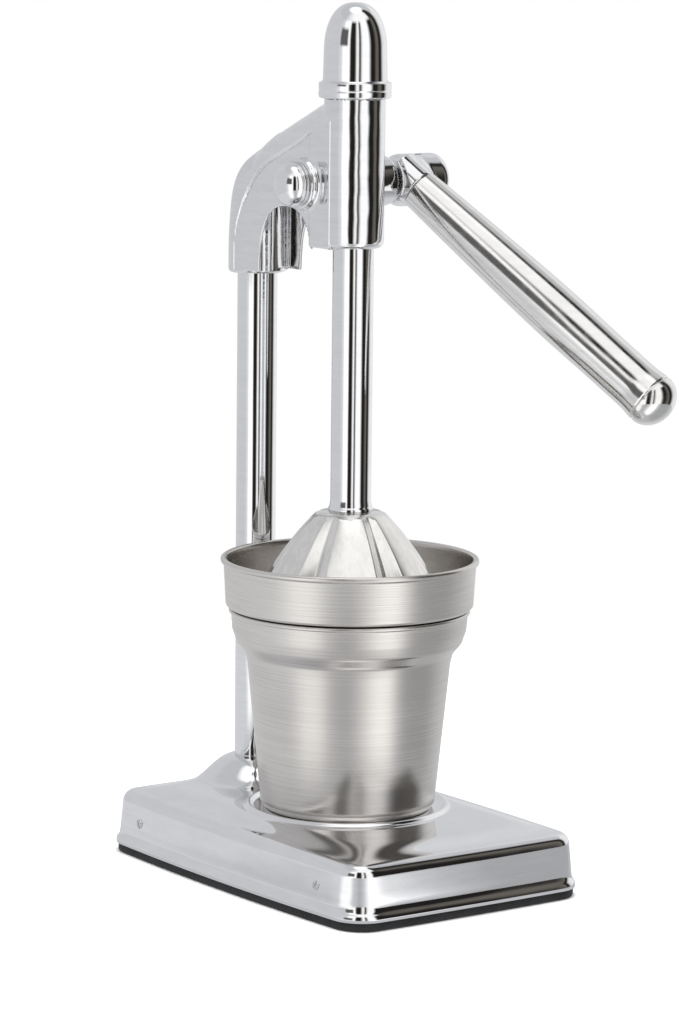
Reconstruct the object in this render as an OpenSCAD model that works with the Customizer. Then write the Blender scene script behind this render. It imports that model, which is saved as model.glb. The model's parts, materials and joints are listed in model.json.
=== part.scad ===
// Hand-lever citrus press: a domed base carries a column and a cast head. A lever on the right
// turns a pinion that drives a toothed plunger and its pressing bell into a strainer on a cup.
// Millimetres, +Z up, front towards -Y, origin at the centre of the footprint on the table.

/* [Base] */
// Length of the base, front to back
base_l = 185; // [184:0.5:188]
// Width of the base
base_w = 125; // [122:0.5:130]
// Radius of the base's corners
corner_r = 13; // [12:0.5:16]
// Share of the half width by which the long sides draw in at their ends
side_bow = 0.05; // [0.02:0.01:0.06]
// Share of the half length by which the front and back draw in at their ends
front_bow = 0.01; // [0:0.005:0.03]
// Height of the flat middle of the base, where the cup stands
base_h = 29.5; // [29:0.1:29.8]
// Fall of the base's top from its flat middle to its edge
base_fall = 3; // [0:0.5:3.5]
// Height of the rubber pad under the base
pad_h = 3.5; // [3.2:0.1:3.8]

/* [Column and head] */
// Distance from the plunger's axis back to the column's axis
column_gap = 69.5; // [69:0.5:70]
// Radius of the column
column_r = 8.5; // [8.3:0.1:8.6]
// Height of the lever shaft's axis
shaft_z = 290; // [289.5:0.5:290.5]
// Outer radius of the front tube of the head
tube_r = 12.6; // [12.5:0.1:12.8]
// Height of the top of the front tube
tube_top = 326; // [325.5:0.5:326.5]
// Overall height of the press
total_h = 365; // [364.5:0.5:366]

/* [Plunger] */
// Distance that the plunger can rise
travel = 44; // [30:1:44]
// Radius of the plunger rod
rod_r = 8.5; // [8.4:0.1:8.6]
// Height of the rod's lower end with the lever down
rod_bottom = 154.5; // [154:0.5:155]
// Height of the pressing bell's rim with the lever down
bell_bottom = 112; // [111.5:0.5:112.5]

/* [Gearing] */
// Module of the rack and pinion
gear_module = 1.5; // [1.5]
// Number of teeth on the pinion
pinion_teeth = 15; // [15]
// Width of the pinion along its shaft
pinion_w = 16; // [12:1:17]

/* [Handle] */
// Length of the handle's tube from its root to its end cap
handle_l = 133; // [128:1:136]
// Radius of the handle at its thickest
handle_r = 11.5; // [11:0.1:12]
// Sideways splay of the handle, degrees
handle_splay = 21.7; // [20:0.1:23]
// Drop of the handle below level with the lever down, degrees
handle_drop = 41; // [38:0.5:44]

/* [Cup and strainer] */
// Outer radius of the cup's rolled rim
cup_rim_r = 50.5; // [50:0.1:51]
// Height of the cup's rim
cup_top = 114; // [113.8:0.1:114.4]
// Outer radius of the strainer's rolled rim
strainer_rim_r = 54; // [53.5:0.1:54.5]
// Height of the strainer's rim
strainer_top = 135.5; // [134.5:0.5:136.5]
// Holes in each ring of the strainer's floor
holes_per_ring = 24; // [16:2:26]

/* [Hidden] */

$fn = 72;
fit = 0.05;         // radial clearance of a fit
eps = 0.01;

plunger_y = -4;
column_y = plunger_y + column_gap;
pitch_r = gear_module * pinion_teeth / 2;
rack_line = 6.25;   // pitch line of the rack, behind the rod's axis
shaft_y = plunger_y + rack_line + pitch_r;

// Base
corner_steps = 7;
side_steps = 6;
top_rings = 16;
fall_from = 7.5;      // depth in from the side where the top starts to rise
fall_to = 22;       // depth in where it is level
wall = 2.6;
hump_h = 9.6;
hump_reach = 29;
hump_top_r = 9;
column_foot_z = 20;
boss_bottom = 14;
side_screw_y = [-64, 66];
side_screw_z = 15;

// Head
wall_x = 12.2;      // half width of the arm across its walls
pocket_x = 10;      // half width of the hollow between the walls
arc_s = 30.5;       // centre of the arm's round back, behind the plunger's axis
arc_z = shaft_z - 28;
arc_r = 50.8;
top_slope = 23.5;   // slope of the arm's top, degrees
flat_s = 14.4;      // how far back the flats beside the tube reach
flat_top = 311;
sleeve_r = 11.9;
sleeve_bottom = 249;
tube_bottom = 264.5;
column_top = 267;
boss_r = 10.5;
near_boss_x = -16;
far_boss_x = 29;
shaft_r = 6;
stop_z = 304;
stop_r = 10.2;
cap_skirt_r = 11.2;
cap_skirt_z = 314;

// Lever
hub_x = [32, 56];
hub_r = 11;
shaft_end = 50;
root = [37, shaft_y - 13, shaft_z - 2.8];
tube_wall = 1.6;
root_r = 8.6;

// Bell
bell_h = rod_bottom - bell_bottom;
bell_wall = 2.6;
petals = 6;
groove_half = 12;   // half the angle that a groove takes up
groove_depth = 6;
first_groove = 25;  // turns one petal towards the front left
bell_steps = 9;
bell_ring = 60;

// Cup
cup_bottom = base_h;
cup_wall = 1.3;
seat_r = 41.5;

// Shared placing and shaping -------------------------------------------------------------

// Puts children on the column's axis
module on_column() {
    translate([0, column_y, 0]) children();
}

// Puts children on the plunger's axis
module on_plunger() {
    translate([0, plunger_y, 0]) children();
}

// A cylinder along X on the lever shaft's axis, between two X values
module shaft_round(r, x0, x1) {
    translate([x0, shaft_y, shaft_z]) rotate([0, 90, 0]) cylinder(r = r, h = x1 - x0);
}

// Stands children, drawn along +Z, at the handle's root and along the handle
module on_handle() {
    translate(root) rotate([90 + handle_drop, 0, 0]) rotate([0, handle_splay, 0]) children();
}

// A closed solid through rings of equal length, the first and last ring closed by a face
module loft(rings) {
    n = len(rings[0]);
    last = len(rings) - 1;
    points = [for (ring = rings) each ring];
    sides = [for (i = [0:last - 1], j = [0:n - 1])
        each [
            [i * n + j, (i + 1) * n + j, i * n + (j + 1) % n],
            [(i + 1) * n + j, (i + 1) * n + (j + 1) % n, i * n + (j + 1) % n]
        ]];
    first_face = [[for (j = [0:n - 1]) j]];
    last_face = [[for (j = [n - 1:-1:0]) last * n + j]];
    polyhedron(points, concat(sides, first_face, last_face));
}

// Base outline ---------------------------------------------------------------------------

function corner_centre(k) = [
    (k == 0 || k == 3 ? 1 : -1) * (base_w / 2 - corner_r),
    (k < 2 ? 1 : -1) * (base_l / 2 - corner_r)
];

function corner_arc(k, inset) = [for (i = [0:corner_steps])
    let (a = 90 * (k + i / corner_steps))
    corner_centre(k) + (corner_r - inset) * [cos(a), sin(a)]];

function side_run(k, inset) =
    let (from = corner_centre(k) + (corner_r - inset) * [cos(90 * k + 90), sin(90 * k + 90)])
    let (to = corner_centre((k + 1) % 4) + (corner_r - inset) * [cos(90 * k + 90), sin(90 * k + 90)])
    [for (i = [1:side_steps - 1]) from + (to - from) * i / side_steps];

function bowed(p) = [
    p[0] * (1 - side_bow * pow(2 * p[1] / base_l, 2)),
    p[1] * (1 - front_bow * pow(2 * p[0] / base_w, 2))
];

// The base's outline, drawn in by inset
function outline(inset) = [for (k = [0:3])
    each [for (p = concat(corner_arc(k, inset), side_run(k, inset))) bowed(p)]];

// Height of the swelling round the column's foot, by distance from the column
function hump(d) = d >= hump_reach ? 0
    : d <= hump_top_r ? hump_h
    : hump_h * (1 + cos(180 * (d - hump_top_r) / (hump_reach - hump_top_r))) / 2;

// Distance in from the nearest side, smoothed across the corners
function depth_in(p) =
    let (x = max(0.1, base_w / 2 - abs(p[0]) / (1 - side_bow * pow(2 * p[1] / base_l, 2))))
    let (y = max(0.1, base_l / 2 - abs(p[1]) / (1 - front_bow * pow(2 * p[0] / base_w, 2))))
    pow(pow(x, -4) + pow(y, -4), -0.25);

// Height of the base's top at a point, without the swelling round the column
function crown(p) =
    let (s = max(0, min(1, (depth_in(p) - fall_from) / (fall_to - fall_from))))
    base_h - base_fall * (1 - s * s * (3 - 2 * s));

// How far the swelling lifts the base's top at a point, level where it meets the column
function lift(p) = (base_h + hump_h - crown(p)) * hump(norm(p - [0, column_y])) / hump_h;

// One ring of the base's side; share is how much of the swelling it follows
function side_ring(inset, z, share) = [for (p = outline(inset)) [p[0], p[1], z + share * lift(p)]];

// One ring of the base's top, at share u of the way from the column to the side
function top_ring(inset, u) = [for (p = outline(inset))
    let (q = p - [0, column_y])
    let (r = norm(q))
    let (s = hump_top_r + (r - hump_top_r) * pow(sin(90 * u), 2))
    let (at = [q[0] * s / r, column_y + q[1] * s / r])
    [at[0], at[1], crown(at) + lift(at)]];

shoulder_r = 5;
side_lean = 3;
shoulder_z = base_h - base_fall - shoulder_r;

module base_solid() {
    lip = [
        side_ring(0.6, pad_h, 0), side_ring(0, pad_h + 1, 0), side_ring(0.3, pad_h + 2.6, 0),
        side_ring(1.3, pad_h + 4, 0), side_ring(1.8, pad_h + 6, 0)
    ];
    shoulder = [for (a = [0:18:90])
        side_ring(side_lean + shoulder_r * (1 - cos(a)), shoulder_z + shoulder_r * sin(a), sin(a))];
    top = [for (i = [top_rings - 1:-1:0]) top_ring(side_lean + shoulder_r, i / top_rings)];
    loft(concat(lip, shoulder, top));
}

module base_hollow() {
    inner_top = base_h - base_fall - wall;
    inner_r = shoulder_r - wall;
    inner_lean = side_lean + wall;
    straight = [
        side_ring(3, pad_h - 1, 0), side_ring(3, pad_h + 3, 0), side_ring(inner_lean, inner_top - inner_r, 0)
    ];
    round = [for (a = [22.5:22.5:90])
        side_ring(inner_lean + inner_r * (1 - cos(a)), inner_top - inner_r * (1 - sin(a)), 0)];
    loft(concat(straight, round));
}

module base_shell() {
    color("gainsboro") difference() {
        union() {
            difference() {
                base_solid();
                base_hollow();
            }
            on_column() translate([0, 0, boss_bottom]) cylinder(r = 14, h = base_h - boss_bottom - 2);
            on_plunger() translate([0, 0, base_h]) rotate_extrude() translate([seat_r, 0]) circle(r = 1.6, $fn = 24);
        }
        on_column() translate([0, 0, column_foot_z]) cylinder(r = column_r + fit, h = 30);
        on_column() translate([0, 0, boss_bottom - 1]) cylinder(r = 5 + fit, h = 10);
        for (y = side_screw_y, s = [-1, 1])
            translate([s * 70, y, side_screw_z]) rotate([0, -90 * s, 0]) cylinder(r = 2.1, h = 20);
    }
}

// Steel plate that closes the base, with a lug behind each side screw
lug_x = 50;

module bottom_plate() {
    color("darkgray") {
        difference() {
            union() {
                translate([0, 0, pad_h]) linear_extrude(2) polygon(outline(6.5));
                for (y = side_screw_y, s = [-1, 1])
                    translate([s * lug_x - 3, y - 5, pad_h + 1]) cube([6, 10, 14]);
            }
            for (y = side_screw_y, s = [-1, 1])
                translate([s * lug_x, y, side_screw_z]) rotate([0, 90, 0]) cylinder(r = 2 + fit, h = 10, center = true);
        }
    }
}

module base_pad() {
    color("black") linear_extrude(pad_h) polygon(outline(1));
}

module side_screws() {
    color("silver") for (y = side_screw_y, s = [-1, 1])
        translate([s * (lug_x - 3), y, side_screw_z]) rotate([0, 90 * s, 0]) cylinder(r = 2, h = 12.2);
}

// Column ---------------------------------------------------------------------------------

module column() {
    color("gainsboro") on_column() {
        translate([0, 0, column_foot_z]) cylinder(r = column_r, h = column_top - column_foot_z);
        translate([0, 0, pad_h + 2.6]) cylinder(r = 5, h = column_foot_z - pad_h - 2);
    }
}

module washer(r, bore, h) {
    difference() {
        cylinder(r = r, h = h);
        translate([0, 0, -1]) cylinder(r = bore, h = h + 2);
    }
}

module column_washer() {
    color("silver") on_column() translate([0, 0, boss_bottom - 1.5]) washer(11, 5 + fit, 1.5);
}

module column_nut() {
    nut_h = 6;
    color("silver") on_column() translate([0, 0, boss_bottom - 1.5 - nut_h]) difference() {
        cylinder(r = 9.2, h = nut_h, $fn = 6);
        translate([0, 0, -1]) cylinder(r = 5 + fit, h = nut_h + 2);
    }
}

// Head -----------------------------------------------------------------------------------

// Side view of the arm, in distance behind the plunger and height: a round back that runs into
// a straight sloping top, drawn in by inset
module arm_side(inset) {
    span = 120;
    back_r = arc_r - inset;
    top_cut = 0.15;
    intersection() {
        union() {
            translate([arc_s, arc_z]) circle(r = back_r, $fn = 120);
            square([arc_s + back_r * sin(top_slope), tube_top]);
        }
        translate([arc_s, arc_z]) rotate(-top_slope) translate([-span, -span])
            square([2 * span, span + back_r - top_cut]);
        polygon([[0, tube_bottom], [tube_r, tube_bottom], [tube_r, sleeve_bottom + 4], [90, sleeve_bottom + 4],
            [90, tube_top], [0, tube_top]]);
    }
}

// Extrudes a side view across X, centred
module across(half) {
    translate([half, plunger_y, 0]) rotate([90, 0, -90]) mirror([1, 0, 0])
        linear_extrude(2 * half) children();
}

// Half widths and insets that round the arm's back and top
spine_steps = [[wall_x, 10.2], [11.7, 8.2], [10.9, 6.4], [9.6, 4.4], [7.6, 2.4], [5.1, 1], [2.6, 0.2]];

// The round-topped gap under the arm
arch_s = 33.2;
arch_half = 18.8;
arch_z = sleeve_bottom;
arch_h = 30;
arch_power = 2.6;

module arch_side() {
    translate([arch_s, arch_z]) polygon(concat([[arch_half, -8]],
        [for (a = [0:7.5:180])
            [arch_half * sign(cos(a)) * pow(abs(cos(a)), 2 / arch_power), arch_h * pow(abs(sin(a)), 2 / arch_power)]],
        [[-arch_half, -8]]));
}

module arm() {
    difference() {
        for (step = spine_steps) across(step[0]) arm_side(step[1]);
        across(pocket_x) intersection() {
            arm_side(9.5);
            translate([tube_r - 2, sleeve_bottom]) square([column_gap - tube_r, 80]);
        }
        across(40) arch_side();
    }
}

module head_casting() {
    color("lightgray") difference() {
        union() {
            arm();
            on_plunger() translate([0, 0, tube_bottom]) cylinder(r = tube_r, h = tube_top - tube_bottom);
            across(tube_r) polygon([[0, tube_bottom], [flat_s, tube_bottom], [flat_s, flat_top], [0, flat_top + 6]]);
            intersection() {
                on_column() translate([0, 0, sleeve_bottom]) cylinder(r = sleeve_r, h = 48);
                across(wall_x) union() {
                    translate([arc_s, arc_z]) circle(r = column_gap + sleeve_r - arc_s, $fn = 120);
                    square([90, arc_z]);
                }
            }
            shaft_round(boss_r, near_boss_x, -pocket_x - 0.4);
            shaft_round(boss_r, pocket_x + 0.4, far_boss_x);
        }
        on_plunger() translate([0, 0, tube_bottom - 1]) cylinder(r = rod_r + fit, h = 80);
        on_plunger() translate([0, 0, stop_z]) cylinder(r = stop_r, h = 30);
        on_plunger() translate([0, 0, cap_skirt_z]) cylinder(r = cap_skirt_r + fit, h = 30);
        shaft_round(gear_tip_r + 0.9, -pinion_w / 2 - 0.8, pinion_w / 2 + 0.8);
        shaft_round(shaft_r + fit, near_boss_x - 1, far_boss_x + 1);
        on_column() translate([0, 0, sleeve_bottom - 1]) cylinder(r = column_r + fit, h = column_top - sleeve_bottom + 1);
        translate([0, column_y, sleeve_bottom + 12]) rotate([-90, 0, 0]) cylinder(r = 3 + fit, h = 20);
    }
}

module head_set_screw() {
    color("dimgray") translate([0, column_y + column_r, sleeve_bottom + 12]) rotate([-90, 0, 0])
        difference() {
            cylinder(r = 3, h = 4);
            translate([0, 0, 2]) cylinder(r = 1.7, h = 3, $fn = 6);
        }
}

// Bullet-shaped cap: a collar, a shallow step and a dome over the rod's end
collar_h = 6.5;
dome_r = 13.3;
dome_straight = 14;

function dome_edge() = let (z0 = tube_top + collar_h + dome_straight, h = total_h - z0)
    [for (a = [0:10:90]) [12.8 * pow(cos(a), 0.85), z0 + h * sin(a)]];

module top_cap() {
    dome_base = tube_top + collar_h;
    color("gainsboro") on_plunger() difference() {
        union() {
            translate([0, 0, cap_skirt_z + 0.2]) cylinder(r = cap_skirt_r, h = tube_top - cap_skirt_z);
            rotate_extrude() polygon(concat(
                [[0, tube_top], [15, tube_top], [15, dome_base - 0.8], [14.2, dome_base], [dome_r, dome_base]],
                dome_edge()));
        }
        translate([0, 0, cap_skirt_z - 1]) cylinder(r = stop_r, h = stop_z + 3 + travel + 1 - cap_skirt_z);
        translate([0, 0, stop_z + travel]) cylinder(r = 7.4, h = 8);
    }
}

// Gearing --------------------------------------------------------------------------------

pressure = 20;
pitch = PI * gear_module;
gear_tip_r = pitch_r + 1.35;
gear_root_r = pitch_r - 1.9;
gear_base_r = pitch_r * cos(pressure);
tooth_half = 1.0;   // half of a tooth's thickness along the pitch circle
rack_tip = 1.2;
rack_root = 1.85;

// Involute function, in degrees, of the pressure angle at radius r
function involute(r) = let (a = acos(min(1, gear_base_r / r))) tan(a) * 180 / PI - a;

function tooth_angle(r) = tooth_half / pitch_r * 180 / PI + involute(pitch_r) - involute(max(r, gear_base_r));

tooth_radii = [gear_root_r, gear_base_r, pitch_r - 0.3, pitch_r + 0.4, gear_tip_r];

// One flank of a tooth centred at angle a, from root to tip; side is -1 or 1
function flank(a, side) = [for (r = tooth_radii) r * [cos(a + side * tooth_angle(r)), sin(a + side * tooth_angle(r))]];

function reversed(list) = [for (i = [len(list) - 1:-1:0]) list[i]];

// Teeth straddle the rod's axis height, so that a rack tooth sits in the gap between two
module pinion_gear() {
    color("dimgray") translate([-pinion_w / 2, shaft_y, shaft_z]) rotate([0, 90, 0]) difference() {
        linear_extrude(pinion_w) polygon([for (k = [0:pinion_teeth - 1])
            let (a = -90 + 360 * (k + 0.5) / pinion_teeth)
            each concat(flank(a, -1), reversed(flank(a, 1)))]);
        translate([0, 0, -1]) cylinder(r = shaft_r + fit, h = pinion_w + 2);
        translate([0, 0, pinion_w / 2]) rotate([0, 90, 0]) cylinder(r = 1.5 + fit, h = 40, center = true);
    }
}

// One gap between rack teeth, in distance behind the rod's axis and height
module rack_gap() {
    half_root = pitch / 2 - 1.08 - rack_root * tan(pressure);
    half_tip = half_root + (rack_root + 2.5) * tan(pressure);
    polygon([[rack_line - rack_root, -half_root], [rack_line + 2.5, -half_tip],
        [rack_line + 2.5, half_tip], [rack_line - rack_root, half_root]]);
}

rack_low = -round((travel + 6) / pitch);
rack_high = 1;

module plunger_rod() {
    color("gainsboro") difference() {
        on_plunger() {
            translate([0, 0, rod_bottom]) cylinder(r = rod_r, h = stop_z - rod_bottom);
            translate([0, 0, rod_bottom]) rotate_extrude()
                polygon([[0, 0], [9.3, 0], [9.3, 1.6], [8.4, 4], [0, 4]]);
        }
        translate([-15, plunger_y + rack_line + rack_tip, shaft_z + (rack_low - 0.5) * pitch])
            cube([30, 5, (rack_high - rack_low + 1) * pitch + 20]);
        for (k = [rack_low:rack_high])
            translate([0, 0, shaft_z + (k + 0.5) * pitch]) across(15) rack_gap();
        on_plunger() translate([0, 0, stop_z - 14]) cylinder(r = 2 + fit, h = 20);
        on_plunger() translate([0, 0, rod_bottom - 1]) cylinder(r = 3 + fit, h = 16);
    }
}

module rod_stop_washer() {
    color("silver") on_plunger() translate([0, 0, stop_z]) washer(9.9, 2 + fit, 2);
}

module cap_screw(shank_r, shank_l, head_r, head_h) {
    difference() {
        union() {
            cylinder(r = head_r, h = head_h);
            translate([0, 0, -shank_l]) cylinder(r = shank_r, h = shank_l + eps);
        }
        translate([0, 0, head_h / 2]) cylinder(r = head_r / 2, h = head_h, $fn = 6);
    }
}

module rod_stop_screw() {
    color("dimgray") on_plunger() translate([0, 0, stop_z + 2]) cap_screw(2, 13, 4, 3);
}

// Pressing bell --------------------------------------------------------------------------

// Radius of the bell at share t of the way down from its top
function bell_r(t) = 14 + 28 * (1.5 * t - 0.5 * t * t);

// Height of the bell's surface at share t of the way down
function bell_z(t) = rod_bottom - bell_h * t;

// How deep the groove is at angle a: 1 in the middle of a groove, 0 on a petal
function groove(a) = let (w = 360 / petals)
    let (d = abs(((a - first_groove) % w + w + w / 2) % w - w / 2))
    max(0, 1 - d / groove_half);

// One ring of the bell: its outer surface, or the inner one where thick is the wall
function bell_surface(t, thick) = [for (i = [0:bell_ring - 1])
    let (a = 360 * i / bell_ring + first_groove)
    let (r = bell_r(t) - thick - groove_depth * sqrt(t) * groove(a))
    [r * cos(a), r * sin(a), bell_z(t) - thick * (1 - t)]];

module press_bell() {
    inner = [for (i = [0:bell_steps]) bell_surface(i / bell_steps, bell_wall)];
    outer = [for (i = [bell_steps:-1:0]) bell_surface(i / bell_steps, 0)];
    color("lightgray") on_plunger() difference() {
        union() {
            loft(concat(inner, outer));
            translate([0, 0, rod_bottom - 9]) cylinder(r = 8, h = 9 - 1);
        }
        translate([0, 0, rod_bottom - 20]) cylinder(r = 3 + fit, h = 40);
    }
}

module bell_washer() {
    color("silver") on_plunger() translate([0, 0, rod_bottom - 10.5]) washer(7, 3 + fit, 1.5);
}

module bell_screw() {
    color("dimgray") on_plunger() translate([0, 0, rod_bottom - 10.5]) mirror([0, 0, 1]) cap_screw(3, 22, 5, 5);
}

// Lever ----------------------------------------------------------------------------------

module drive_shaft() {
    color("silver") difference() {
        union() {
            shaft_round(shaft_r, near_boss_x - 1.5, shaft_end);
            shaft_round(4, near_boss_x - 7, near_boss_x - 1);
        }
        translate([0, shaft_y, shaft_z]) cylinder(r = 1.5 + fit, h = 40, center = true);
    }
}

module pinion_pin() {
    color("dimgray") translate([0, shaft_y, shaft_z]) cylinder(r = 1.5, h = 2 * gear_root_r - 0.6, center = true);
}

module shaft_washer() {
    color("silver") difference() {
        shaft_round(9.6, near_boss_x - 1.5, near_boss_x);
        shaft_round(shaft_r + fit, near_boss_x - 2, near_boss_x + 1);
    }
}

// Domed nut on the left end of the shaft
module cap_nut() {
    dome = 9;
    color("gainsboro") translate([near_boss_x - 1.5, shaft_y, shaft_z]) rotate([0, -90, 0]) difference() {
        rotate_extrude() polygon(concat([[0, 0], [dome, 0], [dome, 1.5]],
            [for (a = [10:10:90]) [dome * cos(a), 1.5 + 7 * sin(a)]]));
        translate([0, 0, -1]) cylinder(r = 4 + fit, h = 6.6);
    }
}

module thrust_washer() {
    color("silver") difference() {
        shaft_round(8.8, far_boss_x, hub_x[0]);
        shaft_round(shaft_r + fit, far_boss_x - 1, hub_x[0] + 1);
    }
}

neck_l = 12;        // the hub's neck, from the handle's root back into the hub

module handle_hub() {
    color("lightgray") difference() {
        union() {
            shaft_round(hub_r, hub_x[0], hub_x[1]);
            on_handle() translate([0, 0, -neck_l]) cylinder(r = root_r, h = neck_l);
        }
        shaft_round(shaft_r + fit, hub_x[0] - 1, shaft_end + 0.1);
        translate([0, root[1] - 20, root[2] - 20]) cube([far_boss_x + 0.3, 60, 60]);
        shaft_round(boss_r + 0.5, far_boss_x - 1, hub_x[0]);
        on_handle() cylinder(r = root_r + 0.1, h = 20);
        on_handle() translate([0, 0, -4.5]) cylinder(r = 4 + fit, h = 20);
        translate([(hub_x[0] + hub_x[1]) / 2, shaft_y, shaft_z]) cylinder(r = 2.5 + fit, h = 20);
    }
}

module hub_set_screw() {
    color("dimgray") translate([(hub_x[0] + hub_x[1]) / 2, shaft_y, shaft_z + shaft_r]) difference() {
        cylinder(r = 2.5, h = 4.4);
        translate([0, 0, 2.4]) cylinder(r = 1.4, h = 3, $fn = 6);
    }
}

module handle_spigot() {
    color("silver") on_handle() {
        translate([0, 0, -4.5]) cylinder(r = 4, h = 6.5);
        translate([0, 0, 2]) cylinder(r = root_r - tube_wall - fit, h = 24);
    }
}

// Outer edge of the handle's tube, from its root to the seam of its end cap
function tube_edge() = [for (i = [0:12]) let (t = i / 12)
    [root_r + (handle_r - root_r) * sin(90 * min(1, t * 1.25)) - 0.3 * t, handle_l * t]];

module handle_tube() {
    color("lightgray") on_handle() difference() {
        rotate_extrude() polygon(concat([[0, 0]], tube_edge(), [[0, handle_l]]));
        translate([0, 0, 2]) cylinder(r = root_r - tube_wall, h = 60);
        translate([0, 0, 26]) cylinder(r = root_r - 0.4, h = handle_l);
        translate([0, 0, -1]) cylinder(r = 4 + fit, h = 20);
    }
}

module handle_end_cap() {
    plug_r = root_r - 0.4;
    color("silver") on_handle() {
        translate([0, 0, handle_l - 12]) cylinder(r = plug_r - fit, h = 12 + eps);
        translate([0, 0, handle_l]) rotate_extrude() polygon(concat([[0, 0], [handle_r - 0.1, 0]],
            [for (a = [0:10:90]) [(handle_r - 0.1) * cos(a), 0.8 + 10 * sin(a)]]));
    }
}

// Cup and strainer -----------------------------------------------------------------------

function cup_edge() = [
    [34, cup_bottom], [35.6, cup_bottom + 0.6], [36.5, cup_bottom + 2.4], [42.5, 91.5],
    [44, 95.5], [47.4, 100], [49.1, 105.5], [49.4, cup_top - 1.5]
];

module juice_cup() {
    edge = cup_edge();
    inside = [for (i = [len(edge) - 1:-1:2]) [edge[i][0] - cup_wall, edge[i][1] + (i < 3 ? 0.4 : 0)]];
    color("lightgray") on_plunger() {
        rotate_extrude() polygon(concat([[0, cup_bottom]], edge,
            [[cup_rim_r, cup_top - 1.2], [cup_rim_r, cup_top - 0.3], [cup_rim_r - 0.4, cup_top], [48.2, cup_top]],
            inside, [[33, cup_bottom + 1.5], [0, cup_bottom + 1.5]]));
    }
}

strainer_wall = 1.3;
flange_z = cup_top;
skirt_r = 47.5;
strainer_floor = 102;

module strainer_bowl() {
    top = strainer_top;
    outer = [
        [0, strainer_floor], [skirt_r - 3, strainer_floor], [skirt_r - 0.6, strainer_floor + 2.4],
        [skirt_r, flange_z], [51, flange_z], [51.7, flange_z + 0.8], [52.7, top - 2.5],
        [strainer_rim_r, top - 2], [strainer_rim_r, top - 0.5], [strainer_rim_r - 0.5, top]
    ];
    inner = [
        [51.6, top], [51.4, top - 2], [51.7 - strainer_wall, flange_z + strainer_wall],
        [skirt_r - strainer_wall, flange_z + strainer_wall], [skirt_r - 1.9, strainer_floor + 2.8],
        [skirt_r - 3.6, strainer_floor + 1.2], [0, strainer_floor + 1.2]
    ];
    color("gainsboro") on_plunger() difference() {
        rotate_extrude() polygon(concat(outer, inner));
        for (ring = [0:2], k = [0:holes_per_ring - 1])
            rotate([0, 0, 360 * (k + ring / 2) / holes_per_ring]) translate([31 + 4.6 * ring, 0, strainer_floor - 1])
                cylinder(r = 1.4, h = 4, $fn = 16);
    }
}

// Ribbed cone that the fruit half is pressed over
cone_h = 27;
cone_r = 27;
cone_ribs = 8;
cone_steps = 7;
cone_ring = 64;

function cone_surface(t) = [for (i = [0:cone_ring - 1])
    let (a = 360 * i / cone_ring)
    let (r = cone_r * (1 - pow(t, 1.7)) + 1.6)
    let (rib = r * 0.09 * (1 + cos(a * cone_ribs)) / 2)
    [(r - rib) * cos(a), (r - rib) * sin(a), strainer_floor + 1.2 + cone_h * t]];

module reamer_cone() {
    color("gainsboro") on_plunger() loft([for (i = [0:cone_steps]) cone_surface(i / cone_steps)]);
}

base_shell();
bottom_plate();
base_pad();
side_screws();
column();
column_washer();
column_nut();
head_casting();
head_set_screw();
top_cap();
plunger_rod();
rod_stop_washer();
rod_stop_screw();
press_bell();
bell_washer();
bell_screw();
drive_shaft();
pinion_gear();
pinion_pin();
shaft_washer();
cap_nut();
thrust_washer();
handle_hub();
hub_set_screw();
handle_spigot();
handle_tube();
handle_end_cap();
juice_cup();
strainer_bowl();
reamer_cone();
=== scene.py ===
"""Hand-lever citrus press. The chrome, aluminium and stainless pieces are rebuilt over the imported
frame. Shapes are worked out in millimetres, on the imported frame's axes, and scaled to metres once."""
import json
import math

import bmesh
import bpy
import numpy as np
from mathutils import Matrix, Vector

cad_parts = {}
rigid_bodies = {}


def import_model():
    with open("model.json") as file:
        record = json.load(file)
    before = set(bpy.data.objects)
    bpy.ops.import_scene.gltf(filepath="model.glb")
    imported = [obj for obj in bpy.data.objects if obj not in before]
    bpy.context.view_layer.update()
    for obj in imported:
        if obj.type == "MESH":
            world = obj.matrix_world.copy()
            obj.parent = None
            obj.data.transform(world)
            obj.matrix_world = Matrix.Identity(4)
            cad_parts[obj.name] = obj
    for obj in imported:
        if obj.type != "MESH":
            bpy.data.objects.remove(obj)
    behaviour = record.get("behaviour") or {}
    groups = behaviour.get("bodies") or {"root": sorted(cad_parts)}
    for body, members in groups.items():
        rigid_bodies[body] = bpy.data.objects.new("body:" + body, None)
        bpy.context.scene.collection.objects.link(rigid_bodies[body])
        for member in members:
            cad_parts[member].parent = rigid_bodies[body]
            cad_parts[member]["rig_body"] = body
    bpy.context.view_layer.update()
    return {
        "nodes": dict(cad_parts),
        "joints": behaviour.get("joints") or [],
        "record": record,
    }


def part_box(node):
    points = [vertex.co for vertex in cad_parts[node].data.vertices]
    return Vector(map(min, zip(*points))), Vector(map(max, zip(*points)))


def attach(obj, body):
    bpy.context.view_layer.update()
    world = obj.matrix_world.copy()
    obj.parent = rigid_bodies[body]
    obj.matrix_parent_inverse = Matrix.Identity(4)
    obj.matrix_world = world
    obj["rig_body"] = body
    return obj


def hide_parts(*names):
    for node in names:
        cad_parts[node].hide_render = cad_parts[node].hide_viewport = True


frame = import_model()
nodes = frame["nodes"]
MM = 0.001


def middle(node):
    """Centre of a CAD node's box, in millimetres."""
    lo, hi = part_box(node)
    return np.array((lo + hi) / 2) / MM


def low(node):
    """Low corner of a CAD node's box."""
    return np.array(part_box(node)[0]) / MM


def high(node):
    """High corner of a CAD node's box."""
    return np.array(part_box(node)[1]) / MM


# The three axes that the pieces are turned about
lever = next(j for j in frame["joints"] if j["name"] == "lever_turn")
PLUNGER_Y = middle("top_cap")[1]
COLUMN_Y = middle("column")[1]
SHAFT_Y = lever["pos_m"][1] / MM
SHAFT_Z = lever["pos_m"][2] / MM


# Materials --------------------------------------------------------------------------------

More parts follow.
